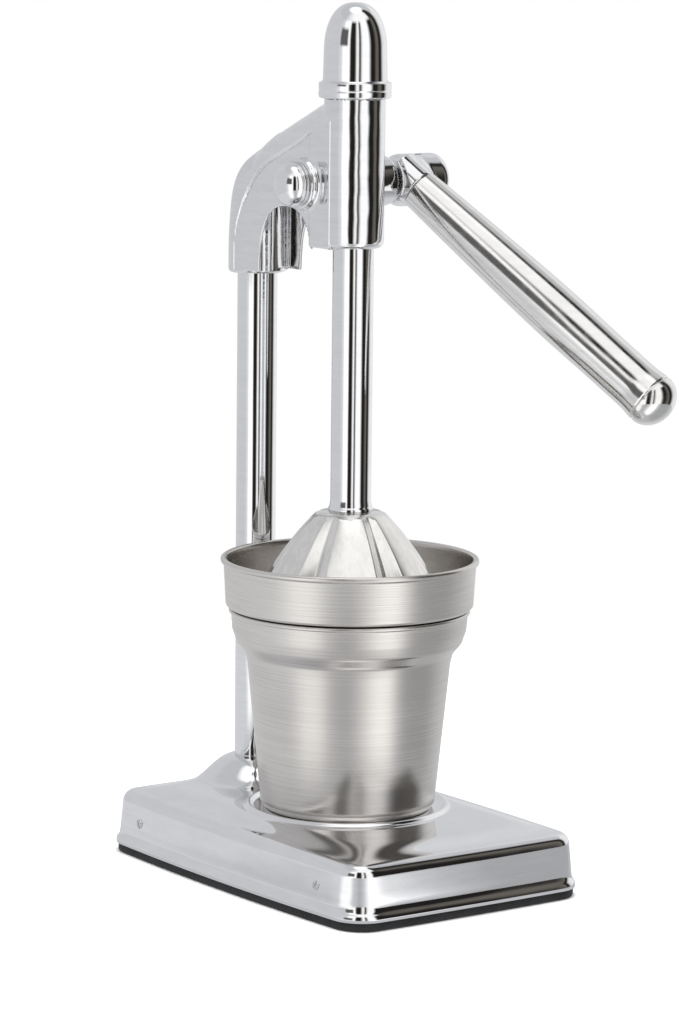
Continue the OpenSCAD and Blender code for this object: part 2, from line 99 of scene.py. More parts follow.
class Nodes:
    """A short way to add nodes to one tree and join them."""

    def __init__(self, tree):
        self.tree = tree

    def add(self, kind, links=(), **values):
        node = self.tree.nodes.new(kind)
        for key, value in values.items():
            setattr(node, key, value)
        for socket, source in dict(links).items():
            if isinstance(source, bpy.types.NodeSocket):
                self.tree.links.new(source, node.inputs[socket])
            else:
                node.inputs[socket].default_value = source
        return node

    def coords(self, scale):
        at = self.add("ShaderNodeTexCoord").outputs["Object"]
        return self.add("ShaderNodeMapping", {"Vector": at, "Scale": scale}).outputs["Vector"]

    def noise(self, scale, detail=3.0, stretch=(1, 1, 1), rough=0.5):
        links = {"Vector": self.coords(stretch), "Scale": scale, "Detail": detail, "Roughness": rough}
        return self.add("ShaderNodeTexNoise", links).outputs["Fac"]

    def remap(self, value, lo, hi, start=0.3, end=0.7):
        links = {"Value": value, "From Min": start, "From Max": end, "To Min": lo, "To Max": hi}
        return self.add("ShaderNodeMapRange", links).outputs["Result"]

    def mix(self, value, a, b):
        ramp = self.add("ShaderNodeValToRGB", {"Fac": value})
        ramp.color_ramp.elements[0].position, ramp.color_ramp.elements[1].position = 0.3, 0.7
        ramp.color_ramp.elements[0].color = (*a, 1)
        ramp.color_ramp.elements[1].color = (*b, 1)
        return ramp.outputs["Color"]

    def bump(self, height, depth, strength=1.0, after=None):
        links = {"Height": height, "Distance": depth, "Strength": strength}
        if after is not None:
            links["Normal"] = after
        return self.add("ShaderNodeBump", links).outputs["Normal"]


def material(slot, metallic, anisotropic=0.0):
    """A new material with its principled shader and a helper for its nodes."""
    mat = bpy.data.materials.new(slot)
    mat.use_nodes = True
    shader = mat.node_tree.nodes["Principled BSDF"]
    shader.inputs["Metallic"].default_value = metallic
    shader.inputs["Anisotropic"].default_value = anisotropic
    return mat, shader, Nodes(mat.node_tree)


def set_surface(shader, n, color, roughness, normal):
    """Joins the three maps that every surface here has."""
    for socket, source in (("Base Color", color), ("Roughness", roughness), ("Normal", normal)):
        n.tree.links.new(source, shader.inputs[socket])


def chrome(slot, dark, light, rough, wave_scale, wave_depth):
    """Mirror plating: a slow wave in the reflection, a fine polish haze and faint wiping marks."""
    mat, shader, n = material(slot, 1.0)
    haze = n.noise(220, 4)
    marks = n.noise(60, 5, (1, 1, 7), 0.7)
    color = n.mix(marks, dark, light)
    wave = n.bump(n.noise(wave_scale, 1.5), wave_depth)
    fine = n.bump(n.noise(1400, 2), 0.000004, 0.6, wave)
    set_surface(shader, n, color, n.remap(haze, *rough), fine)
    return mat


def brushed(slot, dark, light, rough, stretch, depth, anisotropic=0.0):
    """Brushed metal: hair lines along the brushing, with the colour and gloss varying between them."""
    mat, shader, n = material(slot, 1.0, anisotropic)
    lines = n.noise(1.0, 6, stretch, 0.75)
    broad = n.noise(14, 3)
    both = n.add("ShaderNodeMath", {0: lines, 1: broad}, operation="ADD").outputs[0]
    color = n.mix(n.remap(both, 0, 1, 0.7, 1.3), dark, light)
    if anisotropic:
        tangent = n.add("ShaderNodeTangent", direction_type="RADIAL", axis="Z").outputs[0]
        n.tree.links.new(tangent, shader.inputs["Tangent"])
    set_surface(shader, n, color, n.remap(broad, *rough), n.bump(lines, depth))
    return mat


def rubber(slot):
    """Black rubber with a fine moulded grain."""
    mat, shader, n = material(slot, 0.0)
    grain = n.noise(900, 4)
    color = n.mix(n.noise(60), (0.012, 0.012, 0.013), (0.03, 0.03, 0.031))
    set_surface(shader, n, color, n.remap(grain, 0.55, 0.8), n.bump(grain, 0.00012))
    return mat


# Tones, roughness, then the wave's scale and its depth in metres
CHROMES = {
    "chrome_shell": ((0.76, 0.76, 0.77), (0.82, 0.82, 0.83), (0.035, 0.075), 22, 0.0006),
    "chrome_casting": ((0.74, 0.74, 0.75), (0.82, 0.82, 0.83), (0.045, 0.09), 60, 0.0005),
    "chrome_bar": ((0.77, 0.77, 0.78), (0.83, 0.83, 0.84), (0.03, 0.07), 30, 0.00015),
    "satin_handle": ((0.72, 0.71, 0.70), (0.80, 0.79, 0.78), (0.08, 0.16), 26, 0.00025),
}
# Tones, roughness, then the hair lines' scale along each axis, their depth and the anisotropy
BRUSHED_METALS = {
    "polished_aluminium": ((0.70, 0.69, 0.67), (0.79, 0.78, 0.76), (0.12, 0.2), (260, 260, 60), 0.000012),
    "brushed_stainless": ((0.60, 0.575, 0.55), (0.70, 0.675, 0.65), (0.18, 0.26), (16, 16, 2600), 0.000012,
                          0.8),
    "bright_steel": ((0.62, 0.62, 0.63), (0.74, 0.74, 0.75), (0.15, 0.28), (1500, 60, 60), 0.00003),
    "zinc_steel": ((0.50, 0.51, 0.52), (0.62, 0.63, 0.64), (0.3, 0.45), (300, 300, 300), 0.00003),
    "gear_steel": ((0.30, 0.30, 0.31), (0.46, 0.46, 0.47), (0.25, 0.4), (1500, 90, 90), 0.00003),
    "dark_steel": ((0.10, 0.10, 0.11), (0.20, 0.20, 0.21), (0.3, 0.45), (400, 400, 400), 0.00003),
}
MATERIALS = {slot: chrome(slot, *values) for slot, values in CHROMES.items()}
MATERIALS.update({slot: brushed(slot, *values) for slot, values in BRUSHED_METALS.items()})
MATERIALS["black_rubber"] = rubber("black_rubber")

slot_of = {part["node"]: part["material_slot"] for part in frame["record"]["subparts"]}
for name, node in nodes.items():
    for place in node.material_slots:
        place.material = MATERIALS[slot_of[name]]


# Mesh helpers -----------------------------------------------------------------------------

def piece(name, verts, faces, replaced, sharp=32, normals=None):
    """A closed mesh in millimetres that stands for CAD nodes, on the first one's body and slot."""
    mesh = bpy.data.meshes.new(name)
    mesh.from_pydata((np.asarray(verts, float) * MM).tolist(), [], faces)
    mesh.validate()
    if normals is None:
        bm = bmesh.new()
        bm.from_mesh(mesh)
        bmesh.ops.recalc_face_normals(bm, faces=bm.faces)
        bm.to_mesh(mesh)
        bm.free()
    mesh.shade_smooth()
    if normals is None:
        mesh.set_sharp_from_angle(angle=math.radians(sharp))
    else:
        mesh.normals_split_custom_set_from_vertices(normals.tolist())
    obj = bpy.data.objects.new(name, mesh)
    bpy.context.scene.collection.objects.link(obj)
    mesh.materials.append(MATERIALS[slot_of[replaced[0]]])
    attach(obj, nodes[replaced[0]]["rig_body"])
    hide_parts(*replaced)
    return obj


def carve(obj, cutters, sharp=32):
    """Takes closed meshes, given as (verts, faces), out of a piece."""
    verts, faces = [], []
    for v, f in cutters:
        faces += [[i + len(verts) for i in face] for face in f]
        verts += [tuple(p) for p in np.asarray(v, float) * MM]
    tool_mesh = bpy.data.meshes.new("carving_tool")
    tool_mesh.from_pydata(verts, [], faces)
    bm = bmesh.new()
    bm.from_mesh(tool_mesh)
    bmesh.ops.recalc_face_normals(bm, faces=bm.faces)
    bm.to_mesh(tool_mesh)
    bm.free()
    tool = bpy.data.objects.new("carving_tool", tool_mesh)
    bpy.context.scene.collection.objects.link(tool)
    cut = obj.modifiers.new("cut", "BOOLEAN")
    cut.operation, cut.solver, cut.object = "DIFFERENCE", "EXACT", tool
    shaped = bpy.data.meshes.new_from_object(obj.evaluated_get(bpy.context.evaluated_depsgraph_get()))
    obj.modifiers.remove(cut)
    shaped.name = obj.name
    obj.data = shaped
    shaped.shade_smooth()
    shaped.set_sharp_from_angle(angle=math.radians(sharp))
    bpy.data.objects.remove(tool)


def rounded(points, steps=5):
    """A profile whose corners (r, z, radius) are turned into arcs."""
    out = []
    for i, point in enumerate(points):
        here = np.array(point[:2], float)
        radius = point[2] if len(point) > 2 else 0
        if not radius:
            out.append(here)
            continue
        a = np.array(points[i - 1][:2], float) - here
        b = np.array(points[(i + 1) % len(points)][:2], float) - here
        la, lb = np.hypot(*a), np.hypot(*b)
        a, b = a / la, b / lb
        half = math.acos(np.clip(a @ b, -1, 1)) / 2
        cut = min(radius / math.tan(half), la * 0.49, lb * 0.49)
        radius = cut * math.tan(half)
        centre = here + (a + b) / np.hypot(*(a + b)) * radius / math.sin(half)
        u, v = here + a * cut - centre, here + b * cut - centre
        turn = math.acos(np.clip(u @ v / radius ** 2, -1, 1))
        for k in range(steps + 1):
            t = k / steps
            out.append(centre + (u * math.sin((1 - t) * turn) + v * math.sin(t * turn)) / math.sin(turn))
    return out


def lathe(profile, count=160):
    """Turns a profile (r, z) about Z. It is closed through the axis, or on itself if it has no end there."""
    verts, rings = [], []
    for r, z in profile:
        if r < 1e-6:
            rings.append([len(verts)])
            verts.append((0.0, 0.0, z))
            continue
        rings.append(list(range(len(verts), len(verts) + count)))
        verts += [(r * math.cos(2 * math.pi * k / count), r * math.sin(2 * math.pi * k / count), z)
                  for k in range(count)]
    pairs = list(zip(rings, rings[1:]))
    if len(rings[0]) > 1 or len(rings[-1]) > 1:
        pairs.append((rings[-1], rings[0]))
    return np.array(verts), strips(pairs, count)


def strips(pairs, count):
    """Faces between rings of equal count; a ring may also be a single point."""
    faces = []
    for a, b in pairs:
        for k in range(count):
            corners = [a[k % len(a)], a[(k + 1) % count % len(a)], b[(k + 1) % count % len(b)], b[k % len(b)]]
            face = [c for i, c in enumerate(corners) if c not in corners[:i]]
            if len(face) > 2:
                faces.append(face)
    return faces


def loft(rings):
    """A closed mesh through rings of equal length, with a face over each end."""
    count = len(rings[0])
    numbers = [list(range(i * count, (i + 1) * count)) for i in range(len(rings))]
    faces = strips(list(zip(numbers, numbers[1:])), count)
    return np.concatenate([np.asarray(r, float) for r in rings]), faces + [numbers[0], numbers[-1]]


def moved(shape, matrix):
    """A shape's vertices taken through a matrix."""
    verts, faces = shape
    return verts @ np.array(matrix.to_3x3()).T + np.array(matrix.translation), faces


def on_plunger():
    return Matrix.Translation((0, PLUNGER_Y, 0))


def on_column():
    return Matrix.Translation((0, COLUMN_Y, 0))


def along_x(x, y, z, side=1):
    """Local +Z points along X, to the right for side 1 and to the left for side -1."""
    return Matrix.Translation((x, y, z)) @ Matrix.Rotation(side * math.pi / 2, 4, "Y")


# The handle leaves the hub here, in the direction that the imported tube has
SPLAY, DROP = math.radians(21.7), math.radians(41)
HANDLE_ROOT = Vector((37, SHAFT_Y - 13, SHAFT_Z - 2.8))
ON_HANDLE = (Matrix.Translation(HANDLE_ROOT) @ Matrix.Rotation(math.pi / 2 + DROP, 4, "X")
             @ Matrix.Rotation(SPLAY, 4, "Y"))
HANDLE_WAY = np.array(ON_HANDLE.to_3x3() @ Vector((0, 0, 1)))


# Solids described by distance -------------------------------------------------------------

def smin(a, b, k):
    """Joins two distances with a fillet about k wide."""
    h = np.clip(0.5 + 0.5 * (b - a) / k, 0, 1)
    return b * (1 - h) + a * h - k * h * (1 - h)


def smax(a, b, k):
    """Cuts one distance by another with an edge rounded about k wide."""
    return -smin(-a, -b, k)


def ease(value, width):
    """Goes smoothly from 0 to 1 as value goes from 0 to width."""
    t = np.clip(value / width, 0, 1)
    return t * t * (3 - 2 * t)


def skin(field, lo, hi, step):
    """The surface where field is zero: one vertex per cell that it crosses, then moved onto it."""
    lo = np.array(lo, float)
    size = np.ceil((np.array(hi) - lo) / step).astype(int) + 1
    grid = np.stack(np.meshgrid(*[np.arange(n) for n in size], indexing="ij"), -1)
    value = field((grid.reshape(-1, 3) * step + lo)).reshape(size)
    cells = size - 1
    total, crossings = np.zeros((*cells, 3)), np.zeros(cells)
    corners = [(i, j, k) for i in (0, 1) for j in (0, 1) for k in (0, 1)]

    def shifted(c):
        return value[c[0]:c[0] + cells[0], c[1]:c[1] + cells[1], c[2]:c[2] + cells[2]]

    for c in corners:
        for axis in range(3):
            if c[axis]:
                continue
            far = tuple(c[i] + (i == axis) for i in range(3))
            a, b = shifted(c), shifted(far)
            hit = (a < 0) != (b < 0)
            t = np.where(hit, a / np.where(hit, a - b, 1), 0)
            for i in range(3):
                total[..., i] += np.where(hit, c[i] + (t if i == axis else 0), 0)
            crossings += hit
    active = crossings > 0
    number = np.full(cells, -1)
    number[active] = np.arange(active.sum())
    at = (total[active] / crossings[active][:, None] + np.argwhere(active)) * step + lo
    faces = []
    for axis in range(3):
        u, v = (axis + 1) % 3, (axis + 2) % 3
        first = [slice(1, n - 1) for n in size]
        first[axis] = slice(0, size[axis] - 1)
        second = list(first)
        second[axis] = slice(1, size[axis])
        a, b = value[tuple(first)], value[tuple(second)]
        crossing = np.argwhere((a < 0) != (b < 0))
        inside_first = a[tuple(crossing.T)] < 0
        base = crossing.copy()
        base[:, u] += 1
        base[:, v] += 1
        quad = []
        for du, dv in ((1, 1), (0, 1), (0, 0), (1, 0)):
            cell = base.copy()
            cell[:, u] -= du
            cell[:, v] -= dv
            quad.append(number[tuple(cell.T)])
        quad = np.stack(quad, 1)
        quad[~inside_first] = quad[~inside_first][:, ::-1]
        faces.append(quad)
    small = step * 0.05

    def slope(p):
        return np.stack([(field(p + small * e) - field(p - small * e)) / (2 * small) for e in np.eye(3)], 1)

    for _ in range(4):
        g = slope(at)
        move = -g * (field(at) / np.maximum((g * g).sum(1), 0.2))[:, None]
        at = at + np.clip(move, -step * 0.5, step * 0.5)
    normals = slope(at)
    normals /= np.maximum(np.linalg.norm(normals, axis=1), 1e-6)[:, None]
    return at, np.concatenate(faces).tolist(), normals


# Base -------------------------------------------------------------------------------------

BASE_L, BASE_W = 185.0, 125.0
CORNER_R, SIDE_BOW, FRONT_BOW = 13.0, 0.05, 0.01
PAD_H, BASE_H, BASE_FALL = 3.5, 29.5, 3.0
HUMP_H, HUMP_REACH, HUMP_TOP = 9.6, 29.0, 9.0
SHOULDER_R, SIDE_LEAN = 5.0, 3.0
SEAT_R, SEAT_BEAD, SEAT_HALF = 41.5, 1.6, 1.35
FALL_FROM, FALL_WIDTH = 7.5, 14.5
SCREW_X, SCREW_Y = 47.0, (-64, 66)


def outline(inset, corner=14, side=26):
    """The base's outline, drawn in by inset, as an array of points."""
    points = []
    centres = [(sx * (BASE_W / 2 - CORNER_R), sy * (BASE_L / 2 - CORNER_R))
               for sx, sy in ((1, 1), (-1, 1), (-1, -1), (1, -1))]
    r = CORNER_R - inset
    for k in range(4):
        for i in range(corner + 1):
            a = math.radians(90 * (k + i / corner))
            points.append((centres[k][0] + r * math.cos(a), centres[k][1] + r * math.sin(a)))
        a = math.radians(90 * (k + 1))
        start = np.array(centres[k]) + r * np.array((math.cos(a), math.sin(a)))
        end = np.array(centres[(k + 1) % 4]) + r * np.array((math.cos(a), math.sin(a)))
        points += [tuple(start + (end - start) * i / side) for i in range(1, side)]
    p = np.array(points)
    return np.stack([p[:, 0] * (1 - SIDE_BOW * (2 * p[:, 1] / BASE_L) ** 2),
                     p[:, 1] * (1 - FRONT_BOW * (2 * p[:, 0] / BASE_W) ** 2)], 1)


def crown(p):
    """Height of the base's top without the swelling round the column."""
    x = np.maximum(0.1, BASE_W / 2 - abs(p[:, 0]) / (1 - SIDE_BOW * (2 * p[:, 1] / BASE_L) ** 2))
    y = np.maximum(0.1, BASE_L / 2 - abs(p[:, 1]) / (1 - FRONT_BOW * (2 * p[:, 0] / BASE_W) ** 2))
    depth = (x ** -4 + y ** -4) ** -0.25
    return BASE_H - BASE_FALL * (1 - ease(depth - FALL_FROM, FALL_WIDTH))


def lift(p):
    """Height that the swelling round the column adds to the base's top."""
    d = np.hypot(p[:, 0], p[:, 1] - COLUMN_Y)
    share = (1 + np.cos(np.pi * np.clip((d - HUMP_TOP) / (HUMP_REACH - HUMP_TOP), 0, 1))) / 2
    return (BASE_H + HUMP_H - crown(p)) * share


def bead(p):
    """The raised ring that the cup stands in, with a soft foot on each side."""
    d = abs(np.hypot(p[:, 0], p[:, 1] - PLUNGER_Y) - SEAT_R)
    return SEAT_BEAD * np.exp(-(d / SEAT_HALF) ** 2.6)


def raised(p, z):
    """Flat points set at a height."""
    return np.column_stack([p, z])


def base_dome():
    """The chromed shell: a rolled lip, leaning sides, a round shoulder and the top with its ring."""
    lip = [(0.6, 3.5), (0.1, 3.9), (0, 4.5), (0.05, 5.3), (0.3, 6.1), (0.8, 6.9), (1.3, 7.5), (1.6, 8.3),
           (1.8, 9.5), (2.0, 11.5), (2.4, 15.5)]
    shoulder_z = BASE_H - BASE_FALL - SHOULDER_R
    rings = [raised(outline(inset), np.full(len(outline(inset)), z)) for inset, z in lip]
    for a in np.radians(np.linspace(0, 90, 13)):
        p = outline(SIDE_LEAN + SHOULDER_R * (1 - math.cos(a)))
        rings.append(raised(p, shoulder_z + SHOULDER_R * math.sin(a) + math.sin(a) * lift(p)))
    rim = outline(SIDE_LEAN + SHOULDER_R)
    centre = np.array((0, PLUNGER_Y))
    way = rim - centre
    reach = np.hypot(*way.T)[:, None]
    edge = SEAT_R + 4.5
    for v in np.linspace(1, 0, 34)[1:]:
        p = centre + way / reach * (edge + (reach - edge) * v)
        rings.append(raised(p, crown(p) + lift(p) + bead(p)))
    for r in list(np.linspace(edge, SEAT_R - 4.5, 28)[1:]) + list(np.linspace(SEAT_R - 4.5, 0.5, 16)[1:]):
        p = centre + way / reach * r
        rings.append(raised(p, crown(p) + lift(p) + bead(p)))
    return loft(rings)


piece("base_dome", *base_dome(), ["base_shell"], sharp=40)

pad = [raised(outline(inset), np.full(len(outline(inset)), z))
       for inset, z in ((1.9, 0), (1.3, 0.25), (1.0, 0.8), (1.0, PAD_H - 0.4), (1.3, PAD_H))]
piece("rubber_pad", *loft(pad), ["base_pad"], sharp=50)


def side_screw(y, side):
    """One of the screws that hold the bottom plate, with a round head."""
    end = screw_end - SCREW_X
    head = rounded([(0, 0), (2, 0), (2, end, 0.5), (0, end + 0.001)])
    return moved(lathe(head, 40), along_x(side * SCREW_X, y, screw_z, side))


screw_z, screw_end = middle("side_screws")[2], high("side_screws")[0]
screw_shapes = [side_screw(y, side) for y in SCREW_Y for side in (-1, 1)]
verts, faces = [], []
for v, f in screw_shapes:
    faces += [[i + sum(len(s) for s in verts) for i in face] for face in f]
    verts.append(v)
screws = piece("side_screw_heads", np.concatenate(verts), faces, ["side_screws"])


def block(centre, half, turn=0.0):
    """A closed box, turned about X, as (verts, faces)."""
    signs = [(x, y, z) for z in (-1, 1) for x, y in ((-1, -1), (1, -1), (1, 1), (-1, 1))]
    corners = np.array(signs, float) * half
    faces = [(0, 3, 2, 1), (4, 5, 6, 7), (0, 1, 5, 4), (1, 2, 6, 5), (2, 3, 7, 6), (3, 0, 4, 7)]
    spin = np.array(Matrix.Rotation(turn, 3, "X"))
    return corners @ spin.T + np.array(centre), [list(f) for f in faces]


SLOT_TURNS = (0.6, -0.4)
carve(screws, [block((side * screw_end, y, screw_z), (0.45, 0.28, 3), turn)
               for y, turn in zip(SCREW_Y, SLOT_TURNS) for side in (-1, 1)])


# Column, cap and plunger ------------------------------------------------------------------

COLUMN_R = 8.5
COLUMN_FOOT = 20
column_end = high("column")[2] - 0.3
bar = rounded([(0, COLUMN_FOOT), (COLUMN_R, COLUMN_FOOT, 0.6), (COLUMN_R, column_end, 0.6), (0, column_end)])
piece("column_bar", *moved(lathe(bar), on_column()), ["column"])

CAP_Z, SKIRT_Z, DOME_Z = 326.0, 314.4, 346
DOME_R, CAP_BORE_R = 12.95, 10.3
top = high("top_cap")[2]
collar = rounded([(CAP_BORE_R, SKIRT_Z), (11.0, SKIRT_Z), (11.0, CAP_Z + 0.05), (15, CAP_Z + 0.05, 0.9),
                  (15, CAP_Z + 2.8, 0.5), (14.7, CAP_Z + 3.1, 0.2), (14.95, CAP_Z + 3.5, 0.5),
                  (14.95, CAP_Z + 6.5, 1.1), (13.9, CAP_Z + 6.7, 0.3), (13.35, CAP_Z + 7.5, 0.5)], 4)
dome = [(DOME_R * math.cos(a) ** 0.8, DOME_Z + (top - DOME_Z) * math.sin(a))
        for a in np.radians(np.linspace(0, 88, 26))]
inside = [(0, 356), (7.2, 356), (7.2, 352), (CAP_BORE_R, 352)]
piece("cap_dome", *moved(lathe(inside + collar + dome + [(0, top)]), on_plunger()), ["top_cap"])

ROD_R = 8.5
rod_low, rod_high = low("plunger_rod")[2], high("plunger_rod")[2]
rod = rounded([(0, rod_low), (9.25, rod_low, 0.5), (9.3, rod_low + 1.7, 0.6), (8.8, rod_low + 2.6, 0.8),
               (ROD_R, rod_low + 5, 1.5), (ROD_R, rod_high, 0.4), (0, rod_high)])
rod_piece = piece("plunger_bar", *moved(lathe(rod), on_plunger()), ["plunger_rod"])

MODULE = 1.5
PITCH = math.pi * MODULE
RACK_LINE, RACK_LOW, RACK_HIGH = 6.25, -11, 1
ROOT_DEPTH, TIP_HEIGHT, FLAT_HEIGHT = 1.85, 2.5, 1.2
ROD_SIDE = 15


def rack_gap(z):
    """The gap between two teeth, as wide as the rod."""
    flank = math.tan(math.radians(20))
    root = PITCH / 2 - 1.08 - ROOT_DEPTH * flank
    tip = root + (ROOT_DEPTH + TIP_HEIGHT) * flank
    near, far = RACK_LINE - ROOT_DEPTH, RACK_LINE + TIP_HEIGHT
    side = [(near, -root), (far, -tip), (far, tip), (near, root)]
    rings = [[(x, PLUNGER_Y + s, z + h) for s, h in side] for x in (-ROD_SIDE, ROD_SIDE)]
    return loft(rings)


flat_low = SHAFT_Z + (RACK_LOW - 0.5) * PITCH
carve(rod_piece, [rack_gap(SHAFT_Z + (k + 0.5) * PITCH) for k in range(RACK_LOW, RACK_HIGH + 1)])
flat_high = rod_high + 1
carve(rod_piece, [block((0, PLUNGER_Y + RACK_LINE + FLAT_HEIGHT + 3, (flat_low + flat_high) / 2),
                        (ROD_SIDE, 3, (flat_high - flat_low) / 2))])


# Head -------------------------------------------------------------------------------------

# The arm's round back and sloping top, by distance behind the plunger and height
ARM_R, ARM_S, ARM_Z = 56.4, 24.8, SHAFT_Z - 31.6
SLOPE = math.radians(23.5)
TUBE_R, TUBE_LOW, TUBE_HIGH = 12.6, 264.5, 326.0
SLEEVE_R, SLEEVE_LOW = 11.9, 249.0
# Half width of the arm, the rounding of its back and the sunk panel with a crease round it
WALL_X, BACK_ROUND = 12.2, 12.0
PANEL_IN, PANEL_FRONT, PANEL_DEPTH = 11.6, 13.6, 0.9
CREASE_IN, CREASE_WIDTH, CREASE_DEPTH = 12.0, 0.8, 0.55
POCKET_X, POCKET_FRONT, POCKET_BACK = 10, 10.6, 9.5
ARCH_S, ARCH_HALF, ARCH_H, ARCH_POWER = 33.2, 18.8, 30, 2.6
FLAT_BACK, FLAT_TOP, FLAT_FALL = 14.4, 317, 0.435
BOSS_R, BOSS_FROM, NEAR_BOSS_X, FAR_BOSS_X = 10.4, 10.4, -16, 29
SHAFT_BORE, PINION_ROOM, COLUMN_BORE = 6.1, 13.6, 8.6
# Bores of the tube with the height where each starts: rod, stop washer and cap
TUBE_BORES = ((8.6, 0), (10.3, 304), (11.3, 314))


def arm_side(s, z):
    """Distance outside the arm's side view: a round back that runs into a sloping top."""
    back = np.hypot(s - ARM_S, z - ARM_Z) - ARM_R
    back = np.where(z > ARM_Z, back, s - ARM_S - ARM_R)
    sloping = (z - ARM_Z) * math.cos(SLOPE) + (s - ARM_S) * math.sin(SLOPE) - ARM_R + 0.2
    beyond = (s - ARM_S) * math.cos(SLOPE) - (z - ARM_Z) * math.sin(SLOPE)
    return np.where(beyond > 0, back, sloping)


def arm(across, s, z):
    """The arm: two walls with sunk panels, a rounded back, a pocket inside and an arch under it."""
    side = arm_side(s, z)
    panel = ease(-side - PANEL_IN, 0.8) * ease(s - PANEL_FRONT, 1.2)
    crease = np.exp(-((side + CREASE_IN) / CREASE_WIDTH) ** 2) * ease(s - 6, 3) * ease(z - 268, 14)
    wall = across - (WALL_X - PANEL_DEPTH * panel - CREASE_DEPTH * crease)
    r = BACK_ROUND
    outside = np.hypot(np.maximum(side + r, 0), np.maximum(wall + r, 0))
    body = np.minimum(np.maximum(side + r, wall + r), 0) + outside - r
    pocket = np.maximum(np.maximum(across - POCKET_X, side + POCKET_BACK), POCKET_FRONT - s)
    body = smax(body, -pocket, 1.2)
    u, v = abs(s - ARCH_S) / ARCH_HALF, np.maximum(z - SLEEVE_LOW, 0) / ARCH_H
    arch = ((u ** ARCH_POWER + v ** ARCH_POWER) ** (1 / ARCH_POWER) - 1) * 22
    body = smax(body, -arch, 1.4)
    body = smax(body, SLEEVE_LOW + 1 - z, 1.5)
    body = smax(body, -np.maximum(s - 14, z - TUBE_LOW), 1.5)
    return np.maximum(body, np.maximum(1 - s, z - TUBE_HIGH))


def head(p):
    """The cast head: arm, column sleeve, front tube with flat cheeks, and two bosses for the shaft."""
    x, y, z = p.T
    s, across = y - PLUNGER_Y, abs(x)
    from_tube, from_column = np.hypot(x, s), np.hypot(x, y - COLUMN_Y)
    from_shaft = np.hypot(y - SHAFT_Y, z - SHAFT_Z)
    sleeve = smax(from_column - SLEEVE_R, SLEEVE_LOW - z, 1.5)
    sleeve = smax(sleeve, arm_side(s, z), 5)
    body = smin(arm(across, s, z), sleeve, 2)
    cheeks = smax(smax(across - TUBE_R, s - FLAT_BACK, 1.2), (z - FLAT_TOP + FLAT_FALL * s) * 0.92, 1.5)
    cheeks = smax(cheeks, TUBE_LOW - z, 1.4)
    body = smin(body, np.maximum(cheeks, -s), 1.5)
    tube = np.maximum(smax(from_tube - TUBE_R, TUBE_LOW - z, 3.5), z - TUBE_HIGH)
    body = smin(body, tube, 1.5)
    near = smax(from_shaft - BOSS_R, np.maximum(NEAR_BOSS_X - x, x + BOSS_FROM), 1.6)
    far = smax(from_shaft - BOSS_R, np.maximum(x - FAR_BOSS_X, BOSS_FROM - x), 1.6)
    body = smin(body, np.minimum(near, far), 3)
    rod_holes = [np.maximum(from_tube - r, start - z) for r, start in TUBE_BORES]
    shaft_holes = [np.maximum(from_shaft - PINION_ROOM, across - 8.9), from_shaft - SHAFT_BORE]
    column_hole = np.maximum(from_column - COLUMN_BORE, z - 267.2)
    screw_hole = np.maximum(np.hypot(x, z - SLEEVE_LOW - 12) - 3.05, COLUMN_Y - y)
    for hole in (*rod_holes, *shaft_holes, column_hole, screw_hole):
        body = np.maximum(body, -hole)
    return body


lo, hi = low("head_casting"), high("head_casting")
v, f, n = skin(head, lo - 1.7, hi + 1.7, 0.8)
piece("cast_head", v, f, ["head_casting"], normals=n)


# Lever ------------------------------------------------------------------------------------

HUB_X, HUB_R, HUB_HALF = 44, 11, 12
NECK_R, NECK_L, GRIP_HOLE = 8.5, 13, 9.6


def hub(p):
    """The cast hub on the shaft's end, with a neck towards the handle."""
    x, y, z = p.T
    from_shaft = np.hypot(y - SHAFT_Y, z - SHAFT_Z)
    body = smax(from_shaft - HUB_R, abs(x - HUB_X) - HUB_HALF, 4.5)
    rel = p - np.array(HANDLE_ROOT)
    along = rel @ HANDLE_WAY
    off = np.linalg.norm(rel - along[:, None] * HANDLE_WAY, axis=1)
    neck = smax(off - NECK_R, np.maximum(along + 0.15, -NECK_L - along), 1.0)
    body = smin(body, neck, 4)
    tube = np.maximum(off - GRIP_HOLE, 0.05 - along)
    washer = np.maximum(from_shaft - 10.9, x - 32.05)
    screw = np.maximum(np.hypot(x - HUB_X, y - SHAFT_Y) - 2.6, SHAFT_Z - z)
    bore = np.maximum(from_shaft - SHAFT_BORE, x - 50.2)
    for hole in (tube, washer, screw, bore, x - 29.4):
        body = np.maximum(body, -hole)
    return body


lo, hi = low("handle_hub"), high("handle_hub")
v, f, n = skin(hub, lo - 1.5, hi + 1.5, 0.6)
piece("cast_hub", v, f, ["handle_hub"], normals=n)



def washer_ring(outer, thick, corner):
    """A round-edged washer on the shaft, from z 0 up."""
    bore = 6.05
    return lathe(rounded([(bore, 0.05), (outer, 0.05, corner), (outer, thick, corner), (bore, thick)]), 96)


WASHER_T, NUT_R, NUT_DOME = 1.5, 9, 6.9
left = low("shaft_washer")[0]
piece("shaft_ring", *moved(washer_ring(9.6, WASHER_T, 0.5), along_x(left + WASHER_T, SHAFT_Y, SHAFT_Z, -1)),
      ["shaft_washer"])
nut = rounded([(0, 0.02), (NUT_R, 0.02, 0.3), (NUT_R, 1.5, 0.7)]) + [
    (NUT_R * math.cos(a), 1.6 + NUT_DOME * math.sin(a)) for a in np.radians(np.linspace(6, 90, 18))]
nut[-1] = (0, nut[-1][1])
piece("domed_nut", *moved(lathe(nut, 96), along_x(left, SHAFT_Y, SHAFT_Z, -1)), ["cap_nut"])
piece("hub_ring", *moved(washer_ring(8.8, 2.95, 0.7), along_x(low("thrust_washer")[0], SHAFT_Y, SHAFT_Z)),
      ["thrust_washer"])

HANDLE_L, HANDLE_ROOT_R, HANDLE_END_R = 133.0, 8.6, 11.4


